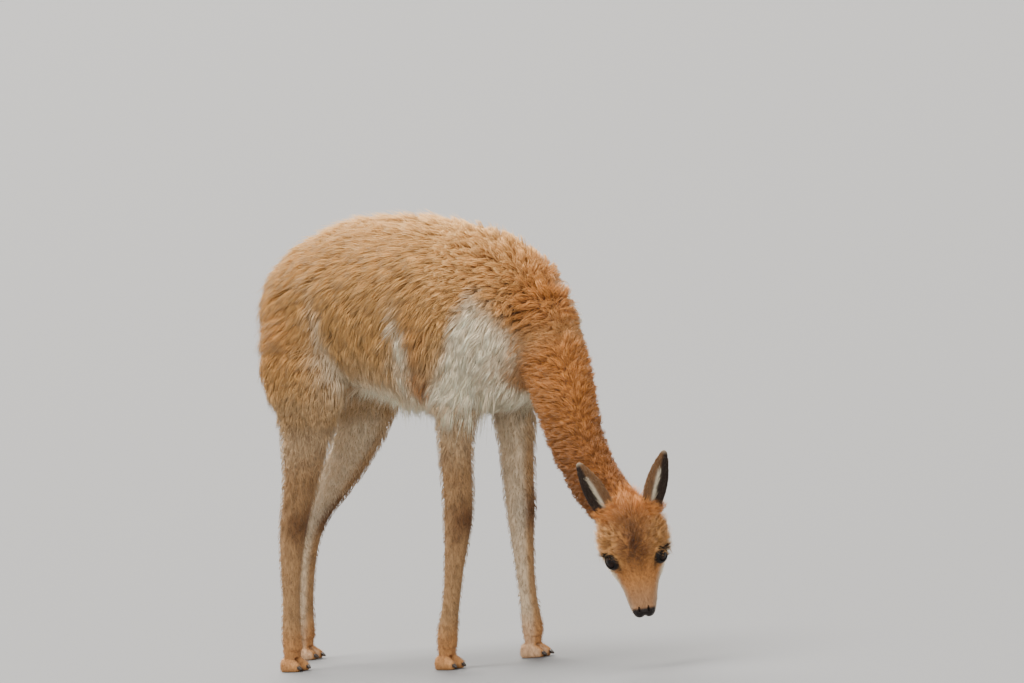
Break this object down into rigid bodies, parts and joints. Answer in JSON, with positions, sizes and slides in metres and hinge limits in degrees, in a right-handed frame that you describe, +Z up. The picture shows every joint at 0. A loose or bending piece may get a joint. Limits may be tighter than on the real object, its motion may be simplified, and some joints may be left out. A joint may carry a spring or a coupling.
{
  "type": "vicuna",
  "caption": "Life-size still model of a vicuna that stands on its four feet and grazes with its neck bent down and its head turned to its right.",
  "frame": {"origin": "on the floor, under the middle of the standing animal's outer box", "axes": "+X the way the trunk heads, +Y to the animal's left, +Z up"},
  "size_m": [1.2518, 0.3216, 0.9009],
  "materials": {
    "fleece": "dense, soft, fawn to rust fleece, cream on the chest, flank and belly",
    "short_coat": "short, flat, tan hair, paler on the inner and rear edges",
    "face_coat": "short, dense, orange-brown hair, paler on the cheeks and muzzle",
    "ear_coat": "short brown hair outside, dark skin with pale hairs inside",
    "eye": "wet, dark brown, nearly black",
    "nail": "dark horn, dull sheen"
  },
  "bodies": {
    "root": {"ear_left": "ear_coat", "ear_right": "ear_coat", "eye_left": "eye", "eye_right": "eye", "foot_fore_left": "short_coat", "foot_fore_right": "short_coat", "foot_hind_left": "short_coat", "foot_hind_right": "short_coat", "head": "face_coat", "leg_fore_left": "short_coat", "leg_fore_right": "short_coat", "leg_hind_left": "short_coat", "leg_hind_right": "short_coat", "nail_fore_left_left": "nail", "nail_fore_left_right": "nail", "nail_fore_right_left": "nail", "nail_fore_right_right": "nail", "nail_hind_left_left": "nail", "nail_hind_left_right": "nail", "nail_hind_right_left": "nail", "nail_hind_right_right": "nail", "neck": "fleece", "tail": "fleece", "thigh_left": "fleece", "thigh_right": "fleece", "torso": "fleece"}
  },
  "joints": []
}
